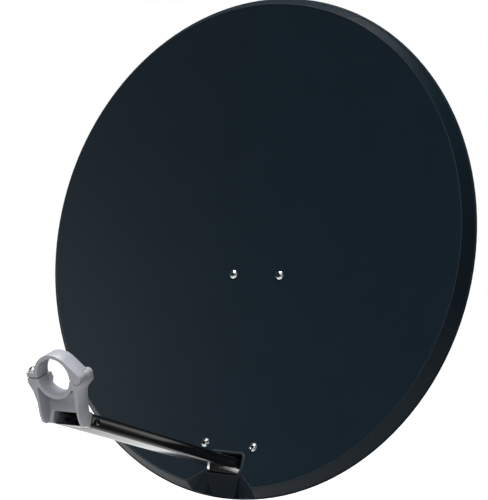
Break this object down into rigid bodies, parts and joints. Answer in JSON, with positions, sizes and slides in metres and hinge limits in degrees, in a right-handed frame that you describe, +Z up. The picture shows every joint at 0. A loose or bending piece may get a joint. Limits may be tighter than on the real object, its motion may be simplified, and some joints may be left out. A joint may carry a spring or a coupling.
{
  "type": "offset satellite dish",
  "caption": "Offset satellite dish with a rectangular feed arm, an opening LNB clamp, a tilting back support and a two-jaw mast clamp.",
  "frame": {"origin": "on the mast's axis, at half the height of the mast clamp", "axes": "+Z up along the mast, -Y is the way the dish looks, +X to the right for someone who looks into the dish"},
  "size_m": [0.642, 0.6395, 0.6889],
  "materials": {
    "dish_coat": "satin powder coat",
    "black_coat": "gloss black coat",
    "cast_grey": "painted die casting, satin",
    "galvanised": "galvanised, matt",
    "bright_zinc": "bright zinc plate"
  },
  "bodies": {
    "mast_bracket": {"tilt_bracket": "galvanised", "front_jaw": "galvanised", "bracket_rivets": "bright_zinc", "mast_bolts": "bright_zinc", "pivot_bolt": "bright_zinc", "pivot_washers": "bright_zinc", "pivot_nut": "bright_zinc"},
    "dish": {"reflector": "dish_coat", "reflector_screws": "bright_zinc", "reflector_washers": "bright_zinc", "reflector_nuts": "bright_zinc", "back_support": "black_coat", "pivot_sleeve": "bright_zinc", "feed_arm": "black_coat", "arm_bolts": "bright_zinc", "arm_nuts": "bright_zinc", "lock_bolts": "bright_zinc", "lock_washers": "bright_zinc", "lock_nuts": "bright_zinc", "lnb_holder": "cast_grey", "holder_screws": "black_coat", "hinge_pin": "bright_zinc"},
    "rear_clamp": {"rear_jaw": "galvanised", "mast_washers": "bright_zinc", "mast_nuts": "bright_zinc"},
    "strap": {"clamp_strap": "cast_grey"},
    "clamp_screw_set": {"clamp_screw": "bright_zinc", "clamp_washer": "bright_zinc"}
  },
  "joints": [
    {"name": "elevation_hinge", "type": "hinge", "parent": "mast_bracket", "child": "dish", "pos_m": [0, -0.08, 0.028], "axis": [-1, 0, 0], "range_deg": [-17, 23]},
    {"name": "rear_jaw_slide", "type": "slide", "parent": "mast_bracket", "child": "rear_clamp", "axis": [0, 1, 0], "range_m": [-0.0195, 0.0146]},
    {"name": "strap_hinge", "type": "hinge", "parent": "dish", "child": "strap", "pos_m": [0.0282, -0.56875, -0.0186], "axis": [0, 0.9571, 0.2898], "range_deg": [0, 90]},
    {"name": "clamp_screw_slide", "type": "slide", "parent": "strap", "child": "clamp_screw_set", "axis": [0, -0.2898, 0.9571], "range_m": [0, 0.012]}
  ]
}
